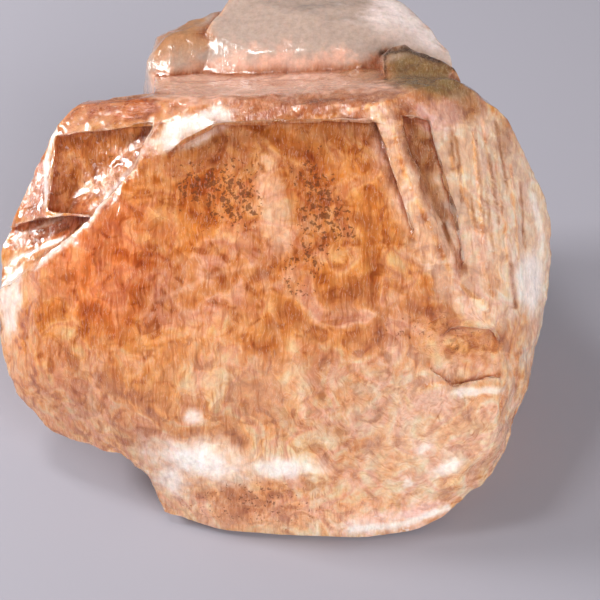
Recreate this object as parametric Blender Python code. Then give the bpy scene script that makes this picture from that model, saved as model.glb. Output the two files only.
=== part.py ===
"""A rough sunstone: one glassy lump of feldspar, broken on all sides, resting on its flattest break.

The stone is laid out in the frame of its broad front break: x across it, y up it and z out of it, in
millimetres.  It is then tipped upright until the base is level, and set down with its origin under its middle.
"""
import math

import bmesh
import bpy
from mathutils import Matrix, Vector, noise

MM = 0.001                          # one millimetre in metres
NODE_NAME = "sunstone"
TIP = math.radians(52.0)            # the broad break is tipped up this far from lying flat

STONE_COLOUR = (0.72, 0.27, 0.10, 1.0)
STONE_ROUGHNESS = 0.25
STONE_TRANSMISSION = 0.6
FELDSPAR_IOR = 1.55

# ---- the block behind the broad break: corners on the break and around its rim (x, y, z) --------------------
LEDGE_RIM = (
    (-11.3, 8.8, -1.5),
    (-10.7, 9.3, -1.6),
    (-7.1, 9.5, -0.7),
    (-12.0, 6.6, -2.2),
    (-13.1, 4.2, -2.6),
    (-14.6, 2.2, -3.0),
)
TOP_RIDGE = (
    (-6.7, 8.3, 0.5),
    (-4.6, 9.3, 0.4),
    (-3.5, 9.4, 0.5),
    (-5.6, 6.9, 1.3),
    (-3.8, 8.1, 1.4),
    (-0.5, 9.1, 1.2),
    (3.9, 9.1, 1.4),
    (7.3, 10.5, -1.0),
)
RIGHT_RIM = (
    (8.8, 9.6, -1.5),
    (9.8, 8.8, -2.1),
    (10.6, 7.5, -2.6),
    (11.0, 5.9, -3.0),
    (12.1, 4.3, -3.8),
    (12.3, 2.8, -3.9),
    (12.2, 0.4, -3.7),
    (11.4, -1.7, -3.0),
    (11.1, -3.3, -2.5),
)
RIGHT_FOLDS = (
    (8.3, 8.3, -0.5),
    (8.9, 2.6, 0.3),
    (10.3, 4.8, -1.5),
    (10.1, -0.3, -0.6),
)
RIGHT_RIDGE = (
    (4.3, 7.9, 1.9),
    (5.2, 4.5, 2.4),
    (7.2, 0.0, 2.3),
    (9.0, -1.4, 1.5),
)
FOOT_RIM = (
    (9.9, -5.9, -1.3),
    (9.8, -7.0, -1.4),
    (9.2, -8.3, -1.3),
    (8.2, -9.3, -1.2),
    (6.9, -10.2, -1.0),
    (5.4, -10.8, -0.6),
    (3.0, -11.1, -0.3),
    (-0.5, -11.0, -0.4),
    (-3.6, -10.8, -0.5),
    (-6.3, -10.1, -1.0),
    (-6.6, -9.4, -1.0),
)
LEFT_LOBE = (
    (-9.6, -7.3, -1.8),
    (-12.1, -6.2, -2.3),
    (-13.6, -4.6, -2.5),
    (-14.4, -2.4, -2.6),
    (-14.6, 0.5, -2.6),
    (-12.3, 1.5, -0.1),
    (-12.2, -3.2, -0.2),
)
BROAD_BREAK = (
    (-9.1, -2.4, 1.7),
    (-9.5, 4.1, 0.9),
    (-7.9, 6.0, 1.1),
    (-2.4, -2.2, 3.1),
    (2.6, -2.8, 3.1),
    (7.0, -3.6, 2.3),
    (9.2, -4.6, 1.2),
    (-4.6, -7.4, 1.8),
    (0.5, -7.8, 2.0),
    (5.4, -7.8, 1.5),
    (8.7, -6.7, 0.9),
    (7.4, -8.5, 0.6),
)

# ---- the foot, the back and the knob behind the top, in the frame of the resting stone ----------------------
BASE_LEVEL = -9.0                   # height of the base under the middle of the broad break
BASE_RIM = (
    (-5.6, -4.4),
    (-2.4, -5.7),
    (3.2, -5.9),
    (6.8, -4.4),
    (9.2, 0.2),
    (9.4, 6.5),
    (6.6, 12.4),
    (-0.8, 15.2),
    (-6.2, 13.0),
    (-9.2, 7.6),
    (-8.6, 1.6),
)
BACK = (
    (-12.8, 8.0, 1.0),
    (-12.0, 9.4, -2.4),
    (-9.8, 13.4, 0.2),
    (-5.6, 17.4, -0.8),
    (1.0, 18.4, -2.2),
    (6.4, 16.6, -1.4),
    (10.6, 10.6, -0.2),
    (11.6, 4.4, -4.0),
    (8.2, 11.0, 4.7),
    (-7.2, 11.4, 3.9),
    (-5.6, 16.8, 3.4),
    (0.6, 18.4, 2.6),
    (6.6, 16.2, 3.4),
)
KNOB = (
    (-5.2, 11.3, 5.2),
    (-4.8, 13.4, 6.7),
    (-3.6, 16.0, 7.3),
    (-2.2, 11.4, 6.6),
    (0.4, 13.6, 7.5),
    (2.2, 11.2, 6.9),
    (2.8, 17.0, 7.3),
    (5.7, 15.6, 7.0),
    (4.6, 13.0, 7.2),
    (7.6, 12.8, 6.0),
    (7.9, 10.4, 5.4),
    (5.0, 9.4, 5.4),
    (8.0, 14.2, 3.4),
    (6.0, 17.0, 4.2),
    (0.6, 18.4, 4.6),
    (-4.6, 17.2, 4.4),
    (-5.4, 14.0, 2.0),
    (-4.0, 9.4, 4.2),
    (6.0, 8.0, 0.0),
    (8.7, 13.1, 0.4),
    (6.6, 15.8, 0.0),
    (0.6, 17.9, -0.6),
    (-5.4, 16.6, 0.0),
)
LOBE = (
    (-7.3, 10.6, 4.0),
    (-7.6, 12.6, 5.4),
    (-7.3, 14.4, 5.6),
    (-6.5, 11.2, 5.6),
    (-6.4, 13.2, 6.5),
    (-5.6, 15.2, 6.4),
    (-3.4, 12.8, 6.3),
    (-3.2, 13.4, 6.8),
    (-3.6, 15.6, 6.9),
    (-7.4, 15.4, 3.4),
    (-5.4, 17.2, 3.6),
    (-3.4, 10.4, 4.2),
    (-6.0, 9.8, 4.0),
    (-3.0, 14.0, 0.0),
    (-8.5, 14.1, 0.6),
    (-6.6, 16.1, 0.4),
)
CREST = (                           # the crest that rises behind the right end of the top ridge
    (3.9, 10.7, 7.2),
    (5.1, 10.9, 7.4),
    (6.8, 9.9, 7.0),
    (7.5, 8.4, 7.4),
    (6.6, 7.2, 7.4),
    (4.0, 7.4, 7.1),
    (3.9, 11.6, 5.6),
    (7.2, 11.2, 5.0),
    (8.4, 8.6, 5.2),
    (3.8, 8.0, 3.0),
    (7.4, 8.0, 3.0),
)

# ---- steps broken out of the stone: the floor of each, and the way the piece came off -----------------------
FRONT_STEPS = {                     # floors in the broad break's frame; the pieces came off straight out of it
    "ledge": (
        (-6.9, 8.1, 0.0),
        (-8.0, 5.8, 0.3),
        (-9.6, 3.9, 0.2),
        (-11.8, 4.2, -1.5),
        (-11.5, 7.7, -1.5),
        (-9.4, 7.8, -0.85),
    ),
    "lower_ledge": (
        (-9.7, 3.8, -0.2),
        (-12.5, 1.6, -1.1),
        (-14.9, 0.3, -3.0),
        (-15.4, 3.0, -3.8),
        (-12.9, 3.7, -2.5),
        (-11.0, 3.9, -1.4),
    ),
    "broad_floor": (
        (-5.9, 6.9, 1.25),
        (-3.8, 8.0, 0.95),
        (3.4, 8.1, 1.2),
        (4.5, 4.6, 2.1),
        (5.2, 2.4, 2.6),
        (3.6, 0.2, 3.1),
        (-1.5, -0.4, 3.15),
        (-6.6, 2.4, 2.5),
        (-7.2, 5.2, 1.9),
    ),
    "right_groove": (
        (4.7, 8.4, 1.05),
        (5.9, 8.2, 0.75),
        (7.0, 3.8, 1.35),
        (7.5, 1.5, 1.7),
        (5.8, 4.6, 2.0),
    ),
    "right_dip": (
        (4.9, -2.2, 3.0),
        (7.4, -1.35, 2.05),
        (8.8, -1.5, 1.35),
        (9.9, -2.7, 0.8),
        (9.5, -3.4, 0.9),
        (7.0, -3.75, 1.95),
    ),
}
BACK_STEPS = {                      # floors in the frame of the resting stone, each with its way off
    "back_left": ((-13.0, 10.2, -2.2), (-13.0, 8.2, -10.0), (-0.8, 15.2, -10.0), (1.2, 16.8, -4.4),
                  (-5.4, 15.4, -2.6), (-0.4, 1.0, -0.1)),
    "back_right": ((3.4, 16.6, -2.4), (7.0, 14.0, 0.4), (12.0, 9.4, -1.2), (12.0, 7.4, -5.0), (3.4, 15.4, -6.6),
                   (0.5, 1.0, 0.0)),
    "left_side": ((-12.7, 2.0, -3.6), (-12.4, 6.6, -1.0), (-11.2, 9.6, -2.6), (-9.8, 9.0, -7.6),
                  (-10.4, 3.0, -7.0), (-1.0, 0.0, -0.2)),
    "right_side": ((10.6, 0.6, -4.6), (11.2, 4.6, -1.6), (10.7, 9.0, -3.4), (9.6, 7.4, -8.2), (9.3, 2.2, -7.8),
                   (1.0, 0.0, -0.1)),
}
SHOULDER = (                        # floor of the shoulder left of the lobe, in the broad break's frame
    (-6.9, 9.5, -1.6),
    (-7.6, 10.8, -12.5),
    (-15.5, 10.8, -12.5),
    (-15.5, 9.5, -1.6),
)
STEP_CLEARANCE = 6.0                # how far a cutter reaches from its floor
LOBE_BITE = (                       # the bite between the left lobe and the foot, seen from the front
    (-12.6, -6.3),
    (-8.4, -7.45),
    (-7.2, -8.2),
    (-6.7, -9.3),
    (-6.3, -10.4),
    (-9.0, -12.5),
    (-13.5, -9.5),
)
BITE_DEPTH = -4.4                   # how far behind the broad break the bite reaches
SCOOPS = (                          # shallow dishes: where each lies, its way out, its radius and its depth
    ((-9.4, 14.0, 1.0), (-0.7, 0.7, 0.1), 8.0, 0.7),
    ((1.6, 17.4, -5.2), (0.1, 1.0, -0.25), 9.0, 0.9),
    ((10.4, 10.2, 0.6), (0.9, 0.5, 0.3), 9.0, 0.5),
    ((-11.8, 5.4, -4.8), (-0.9, 0.0, -0.5), 7.0, 0.5),
    ((0.4, 18.6, 5.8), (0.1, 1.0, 0.6), 7.0, 0.6),
)

# ---- how finely the skin is divided -------------------------------------------------------------------------
SHELL_EDGE = 0.66                   # longest edge on the shell-shaped break
FRONT_EDGE = 1.0                    # longest edge on the other breaks that face the front
BACK_EDGE = 1.8                     # longest edge elsewhere
FRONT_FACING = 0.1                  # a break faces the front when its normal leans out at least this much
SLIVER = 0.04                       # corners closer than this are merged
FLAT = math.radians(1.0)            # faces that meet at less than this lie in one break
REFINE_ROUNDS = 8
RELAX_ROUNDS = 6

# ---- the shell-shaped break at the lower right: arcs around one point of impact ------------------------------
SHELL_CENTRE = (6.4, -2.2)
SHELL_REACH = (1.6, 8.6)            # the arcs lie between these radii
SHELL_RIPPLE = 1.35                 # from one arc to the next
SHELL_RISE = 0.09                   # height of an arc's crest
SHELL_WANDER = 0.7                  # how far an arc strays from its circle, as a share of a ripple
SHELL_WANDER_SIZE = 3.4             # over what distance it strays
SHELL_PATCH = (-0.45, 0.35)         # the noise between whose values the arcs come in
SHELL_PATCH_SIZE = 2.6              # width of the patches of arcs
SHELL_ONSET = (-1.0, 1.5)           # the arcs grow between these distances below the point of impact
FRONT_LAYER = (-1.5, 0.0)           # front relief dies away between these depths behind the break's plane
HOLLOW_CENTRE = (4.6, -5.6)
HOLLOW_RADIUS = 4.2
HOLLOW_DEPTH = 0.45

# ---- relief over the whole skin -----------------------------------------------------------------------------
SWELL_SIZE = 5.0                    # width of the slow swells
SWELL_RISE = 0.24
HACKLE_SIZE = 1.7                   # width of the small ridges of a rough break
HACKLE_RISE = 0.26
HACKLE_MEAN = 0.3                   # the share of its rise about which the hackle goes up and down
SMOOTH_FACING = (0.55, 0.85)        # breaks whose normal leans out this far go from rough to smooth
SMOOTH_SHARE = 0.8                  # how much of the hackle a smooth break loses
BASE_FADE = 1.2                     # the relief dies away within this height above the base


def tipped(corners):
    """Turn corners from the broad break's frame to that of the resting stone."""
    turn = Matrix.Rotation(TIP, 3, "X")
    return [turn @ Vector(corner) for corner in corners]


def solid(name, bm):
    """Make an object of a finished bmesh."""
    mesh = bpy.data.meshes.new(name)
    bm.to_mesh(mesh)
    bm.free()
    thing = bpy.data.objects.new(name, mesh)
    bpy.context.collection.objects.link(thing)
    return thing


def hull(name, corners):
    """Make an object of the solid that the corners span."""
    bm = bmesh.new()
    for corner in corners:
        bm.verts.new(Vector(corner))
    result = bmesh.ops.convex_hull(bm, input=bm.verts)
    inside = [item for item in result["geom_interior"] if isinstance(item, bmesh.types.BMVert)]
    bmesh.ops.delete(bm, geom=inside, context="VERTS")
    bmesh.ops.recalc_face_normals(bm, faces=bm.faces)
    return solid(name, bm)


def step_cutter(name, floor, away):
    """Make the solid that breaks a step off the stone: it reaches from the step's floor along its way off."""
    reach = Vector(away).normalized() * STEP_CLEARANCE
    floor = [Vector(corner) for corner in floor]
    return hull(name, floor + [corner + reach for corner in floor])


def scoop_cutter(name, spot, away, radius, depth):
    """Make the ball that scoops a dish out of the stone to its depth."""
    centre = Vector(spot) + Vector(away).normalized() * (radius - depth)
    bm = bmesh.new()
    bmesh.ops.create_icosphere(bm, subdivisions=3, radius=radius, matrix=Matrix.Translation(centre))
    return solid(name, bm)


def combine(block, tool, operation):
    """Join a tool to the block or cut it out of the block."""
    tool.hide_render = True
    tool.display_type = "WIRE"
    modifier = block.modifiers.new(tool.name, "BOOLEAN")
    modifier.operation = operation
    modifier.solver = "EXACT"
    modifier.object = tool


def to_break(point):
    """Read a point of the resting stone in the broad break's frame."""
    return Matrix.Rotation(-TIP, 3, "X") @ point


def fade(value, start, end):
    """Rise smoothly from 0 at start to 1 at end."""
    share = min(max((value - start) / (end - start), 0.0), 1.0)
    return share * share * (3.0 - 2.0 * share)


def is_base(face):
    """Tell whether a face lies in the base."""
    return all(vert.co.z < BASE_LEVEL + SLIVER for vert in face.verts)


def longest_edge(edge):
    """Give the length at which an edge is divided."""
    if all(is_base(face) for face in edge.link_faces):
        return math.inf
    out = max(to_break(face.normal).z for face in edge.link_faces)
    if out < FRONT_FACING:
        return BACK_EDGE
    middle = to_break((edge.verts[0].co + edge.verts[1].co) / 2.0)
    off = math.hypot(middle.x - SHELL_CENTRE[0], middle.y - SHELL_CENTRE[1])
    return SHELL_EDGE if off < SHELL_REACH[1] and middle.y < SHELL_CENTRE[1] else FRONT_EDGE


def refine(bm):
    """Divide the skin into even triangles and leave the base as it is."""
    bmesh.ops.remove_doubles(bm, verts=bm.verts, dist=SLIVER)
    bmesh.ops.dissolve_limit(bm, angle_limit=FLAT, verts=bm.verts, edges=bm.edges)
    for _ in range(REFINE_ROUNDS):
        skin = [face for face in bm.faces if len(face.verts) > 3 and not is_base(face)]
        bmesh.ops.triangulate(bm, faces=skin)
        long_edges = [edge for edge in bm.edges if edge.calc_length() > longest_edge(edge)]
        if not long_edges:
            return
        bmesh.ops.subdivide_edges(bm, edges=long_edges, cuts=1)


def relax(bm):
    """Even out the corners that lie inside a flat break, without leaving its plane."""
    inner = [vert for vert in bm.verts
             if all(edge.calc_face_angle(math.pi) < FLAT for edge in vert.link_edges)]
    for _ in range(RELAX_ROUNDS):
        bmesh.ops.smooth_vert(bm, verts=inner, factor=0.5, use_axis_x=True, use_axis_y=True, use_axis_z=True)


def shell_relief(spot):
    """Give the height of the shell-shaped break at a point of the broad break's frame."""
    radius = math.hypot(spot.x - SHELL_CENTRE[0], spot.y - SHELL_CENTRE[1])
    near, far = SHELL_REACH
    share = fade(radius, near, near + SHELL_RIPPLE) * (1.0 - fade(radius, far - SHELL_RIPPLE, far))
    share *= fade(SHELL_CENTRE[1] - spot.y, *SHELL_ONSET)
    wander = noise.noise(spot / SHELL_WANDER_SIZE)
    crest = 1.0 - 2.0 * abs(math.sin(math.pi * (radius / SHELL_RIPPLE + SHELL_WANDER * wander)))
    share *= fade(noise.noise(spot / SHELL_PATCH_SIZE), *SHELL_PATCH)
    off = math.hypot(spot.x - HOLLOW_CENTRE[0], spot.y - HOLLOW_CENTRE[1])
    hollow = HOLLOW_DEPTH * (1.0 - fade(off, 0.0, HOLLOW_RADIUS))
    return (SHELL_RISE * crest * share - hollow) * fade(spot.z, *FRONT_LAYER)


def skin_relief(point, normal):
    """Give the height of the swells and small ridges at a point of the resting stone."""
    swell = SWELL_RISE * noise.noise(point / SWELL_SIZE)
    hackle = HACKLE_RISE * (abs(noise.noise(point / HACKLE_SIZE)) - HACKLE_MEAN)
    smooth = fade(to_break(normal).z, *SMOOTH_FACING)
    return swell + hackle * (1.0 - SMOOTH_SHARE * smooth)


def raise_relief(bm):
    """Move each corner along its normal by the relief there."""
    bm.normal_update()
    moves = []
    for vert in bm.verts:
        height = skin_relief(vert.co, vert.normal) + shell_relief(to_break(vert.co))
        share = fade(vert.co.z - BASE_LEVEL, 0.0, BASE_FADE)
        moves.append((vert, vert.normal * height * share))
    for vert, move in moves:
        vert.co += move


def rough_block():
    """Break the block: its hull, the knob behind its top, and the steps in its rim."""
    base = [(x, y, BASE_LEVEL) for x, y in BASE_RIM]
    front = tipped(LEDGE_RIM + TOP_RIDGE + RIGHT_RIM + RIGHT_FOLDS + RIGHT_RIDGE + FOOT_RIM + LEFT_LOBE
                   + BROAD_BREAK)
    block = hull(NODE_NAME, front + base + list(BACK))
    up_the_break, straight_out = tipped([(0.0, 1.0, 0.0), (0.0, 0.0, 1.0)])
    combine(block, step_cutter("shoulder", tipped(SHOULDER), up_the_break), "DIFFERENCE")
    combine(block, hull("knob", KNOB), "UNION")
    combine(block, hull("lobe", LOBE), "UNION")
    combine(block, hull("crest", CREST), "UNION")
    for name, floor in FRONT_STEPS.items():
        combine(block, step_cutter(name, tipped(floor), straight_out), "DIFFERENCE")
    for name, corners in BACK_STEPS.items():
        combine(block, step_cutter(name, corners[:-1], corners[-1]), "DIFFERENCE")
    for index, scoop in enumerate(SCOOPS):
        combine(block, scoop_cutter(f"scoop_{index}", *scoop), "DIFFERENCE")
    bite = [(x, y, z) for x, y in LOBE_BITE for z in (BITE_DEPTH, STEP_CLEARANCE)]
    combine(block, hull("lobe_bite", tipped(bite)), "DIFFERENCE")
    return block


def finish(block):
    """Divide and raise the skin of the block, bring it to metres and set it down on its base."""
    depsgraph = bpy.context.evaluated_depsgraph_get()
    mesh = bpy.data.meshes.new_from_object(block.evaluated_get(depsgraph))
    block.modifiers.clear()
    bm = bmesh.new()
    bm.from_mesh(mesh)
    refine(bm)
    relax(bm)
    raise_relief(bm)
    base = [face for face in bm.faces if len(face.verts) > 3]
    bmesh.ops.triangulate(bm, faces=base)
    lows = [min(vert.co[axis] for vert in bm.verts) for axis in range(3)]
    highs = [max(vert.co[axis] for vert in bm.verts) for axis in range(3)]
    middle = Vector(((lows[0] + highs[0]) / 2.0, (lows[1] + highs[1]) / 2.0, lows[2]))
    bmesh.ops.translate(bm, verts=bm.verts, vec=-middle)
    bmesh.ops.scale(bm, verts=bm.verts, vec=(MM, MM, MM))
    bm.to_mesh(mesh)
    bm.free()
    block.data = mesh


def stone_material():
    """Make the stone's material: orange glassy feldspar that light passes through."""
    material = bpy.data.materials.new("orange_feldspar")
    material.use_nodes = True
    shader = material.node_tree.nodes["Principled BSDF"]
    shader.inputs["Base Color"].default_value = STONE_COLOUR
    shader.inputs["Roughness"].default_value = STONE_ROUGHNESS
    shader.inputs["IOR"].default_value = FELDSPAR_IOR
    shader.inputs["Transmission Weight"].default_value = STONE_TRANSMISSION
    return material


def main():
    """Build the stone."""
    for thing in list(bpy.data.objects):
        bpy.data.objects.remove(thing, do_unlink=True)
    block = rough_block()
    finish(block)
    block.data.materials.append(stone_material())
    for thing in list(bpy.data.objects):
        if thing != block:
            bpy.data.objects.remove(thing, do_unlink=True)


main()
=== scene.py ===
"""Dress a rough sunstone: an orange, glassy feldspar lump seen close up against its broad front break."""
from __future__ import annotations

import logging
import math
from dataclasses import dataclass, field
from enum import Enum
from functools import cached_property

import bmesh
import bpy
from mathutils import Matrix, Vector, noise

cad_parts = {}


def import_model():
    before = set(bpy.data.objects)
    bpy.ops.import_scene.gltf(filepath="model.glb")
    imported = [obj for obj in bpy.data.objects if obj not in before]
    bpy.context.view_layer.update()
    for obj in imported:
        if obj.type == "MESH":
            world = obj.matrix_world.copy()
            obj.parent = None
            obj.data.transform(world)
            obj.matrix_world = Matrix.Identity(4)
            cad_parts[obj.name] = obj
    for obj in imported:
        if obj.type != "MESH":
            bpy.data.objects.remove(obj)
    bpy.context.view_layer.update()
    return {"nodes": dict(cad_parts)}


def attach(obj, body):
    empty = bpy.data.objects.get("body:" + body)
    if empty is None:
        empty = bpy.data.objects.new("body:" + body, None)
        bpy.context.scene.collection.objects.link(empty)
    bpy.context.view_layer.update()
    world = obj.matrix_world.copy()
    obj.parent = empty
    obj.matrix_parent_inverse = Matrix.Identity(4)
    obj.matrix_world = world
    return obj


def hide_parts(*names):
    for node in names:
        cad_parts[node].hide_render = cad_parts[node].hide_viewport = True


LOG = logging.getLogger("sunstone")
MM = 0.001
TIP = math.radians(52.0)                          # the broad break leans back this far from upright
BREAK_MIDDLE = Vector((1.135, -5.904, 9.0)) * MM  # where the middle of the broad break stands
SHELL_MIDDLE = Vector((6.4, -2.2))                # the point of impact of the shell-shaped break

Colour = tuple[float, float, float, float]
Reach = tuple[float, float, float, float]


def linear(hex_colour: str) -> Colour:
    """Turn an sRGB hex colour into linear RGBA.

    Args:
        hex_colour: Six hex digits, with or without a leading hash.

    Returns:
        Linear red, green and blue with an alpha of 1.
    """
    digits = hex_colour.lstrip("#")
    channels = [int(digits[index:index + 2], 16) / 255.0 for index in (0, 2, 4)]
    values = [value / 12.92 if value <= 0.04045 else ((value + 0.055) / 1.055) ** 2.4 for value in channels]
    return (values[0], values[1], values[2], 1.0)


def fade(value: float, start: float, end: float) -> float:
    """Rise smoothly from 0 at start to 1 at end.

    Args:
        value: The value to place.
        start: Where the result is 0.
        end: Where the result is 1.

    Returns:
        The share between 0 and 1.
    """
    share = min(max((value - start) / (end - start), 0.0), 1.0)
    return share * share * (3.0 - 2.0 * share)


def add_node(tree: bpy.types.NodeTree, kind: str, settings: dict | None = None,
             links: dict | None = None) -> bpy.types.Node:
    """Add a node with its settings and links.

    Args:
        tree: The tree that takes the node.
        kind: The node's type name.
        settings: Node properties by name, and socket values by index or socket name.
        links: Output sockets by the index or name of the input that each feeds.

    Returns:
        The new node.
    """
    node = tree.nodes.new(kind)
    for key, value in (settings or {}).items():
        if isinstance(key, str) and hasattr(node, key):
            setattr(node, key, value)
        else:
            node.inputs[key].default_value = value
    for key, socket in (links or {}).items():
        tree.links.new(socket, node.inputs[key])
    return node


def beyond(spot: Vector, reach: Reach) -> bool:
    """Tell whether a spot lies outside a box.

    Args:
        spot: The place in the broad break's frame.
        reach: The box's lowest and highest x and its lowest and highest y.

    Returns:
        True where the spot is outside.
    """
    left, right, low, high = reach
    return not (left < spot.x < right and low < spot.y < high)


class Side(Enum):
    """The side of the stone that a zone lies on."""

    FRONT = "front"
    KNOB = "knob"
    ANY = "any"


@dataclass(frozen=True)
class Patch:
    """A soft oval on the stone, in the broad break's frame, in millimetres."""

    x: float
    y: float
    half_x: float
    half_y: float
    turn: float = 0.0
    strength: float = 1.0
    soft: float = 0.35
    wander: float = 1.0

    @cached_property
    def reach(self) -> Reach:
        """Give the box past which the oval has no share, however its edge wanders."""
        room = max(self.half_x, self.half_y) * (1.0 + self.soft + self.wander)
        return (self.x - room, self.x + room, self.y - room, self.y + room)

    def weight(self, spot: Vector, wander: float) -> float:
        """Give the oval's share at a spot.

        Args:
            spot: The place in the broad break's frame.
            wander: A small number that makes the oval's edge uneven.

        Returns:
            The share between 0 and the oval's strength.
        """
        if beyond(spot, self.reach):
            return 0.0
        angle = math.radians(self.turn)
        along = (spot.x - self.x) * math.cos(angle) + (spot.y - self.y) * math.sin(angle)
        across = (spot.y - self.y) * math.cos(angle) - (spot.x - self.x) * math.sin(angle)
        radius = math.hypot(along / self.half_x, across / self.half_y) + wander * self.wander
        return self.strength * (1.0 - fade(radius, 1.0 - self.soft, 1.0 + self.soft))


@dataclass(frozen=True)
class Streak:
    """A soft line on the stone through a few points, in the broad break's frame, in millimetres."""

    points: tuple[tuple[float, float], ...]
    half_width: float
    strength: float = 1.0
    wander: float = 0.6
    fading: tuple[float, float] = (0.4, 1.6)     # where its edge starts and ends to fade, in half widths

    @cached_property
    def reach(self) -> Reach:
        """Give the box past which the line has no share, however its edge wanders."""
        room = self.half_width * (self.fading[1] + self.wander)
        across, up = zip(*self.points)
        return (min(across) - room, max(across) + room, min(up) - room, max(up) + room)

    def weight(self, spot: Vector, wander: float) -> float:
        """Give the line's share at a spot.

        Args:
            spot: The place in the broad break's frame.
            wander: A small number that makes the line's edge uneven.

        Returns:
            The share between 0 and the line's strength.
        """
        if beyond(spot, self.reach):
            return 0.0
        nearest = math.inf
        for start, end in zip(self.points, self.points[1:]):
            step = Vector(end) - Vector(start)
            share = min(max((spot.xy - Vector(start)).dot(step) / step.length_squared, 0.0), 1.0)
            nearest = min(nearest, (spot.xy - Vector(start) - step * share).length)
        return self.strength * (1.0 - fade(nearest / self.half_width + wander * self.wander, *self.fading))


@dataclass(frozen=True)
class Look:
    """What the skin looks like at a spot, each value but the colour from 0 to 1."""

    colour: Colour
    clarity: float                               # how far light passes through
    grain: float                                 # how torn the surface is
    specks: float
    glitter: float
    haze: float = 0.0                            # how far hairs, clouds and planes are hidden
    layers: float = 0.0                          # how far thin level layers end there

    def towards(self, other: Look, share: float) -> Look:
        """Mix with another look.

        Args:
            other: The look to move towards.
            share: How far to move, from 0 to 1.

        Returns:
            The mixed look.
        """
        colour = tuple(mine + (its - mine) * share for mine, its in zip(self.colour, other.colour))
        mine = (self.clarity, self.grain, self.specks, self.glitter, self.haze, self.layers)
        its = (other.clarity, other.grain, other.specks, other.glitter, other.haze, other.layers)
        return Look(colour, *(a + (b - a) * share for a, b in zip(mine, its)))


@dataclass(frozen=True)
class Zone:
    """Part of the stone that has a look of its own."""

    look: Look
    marks: tuple[Patch | Streak, ...]
    side: Side = Side.FRONT


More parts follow.
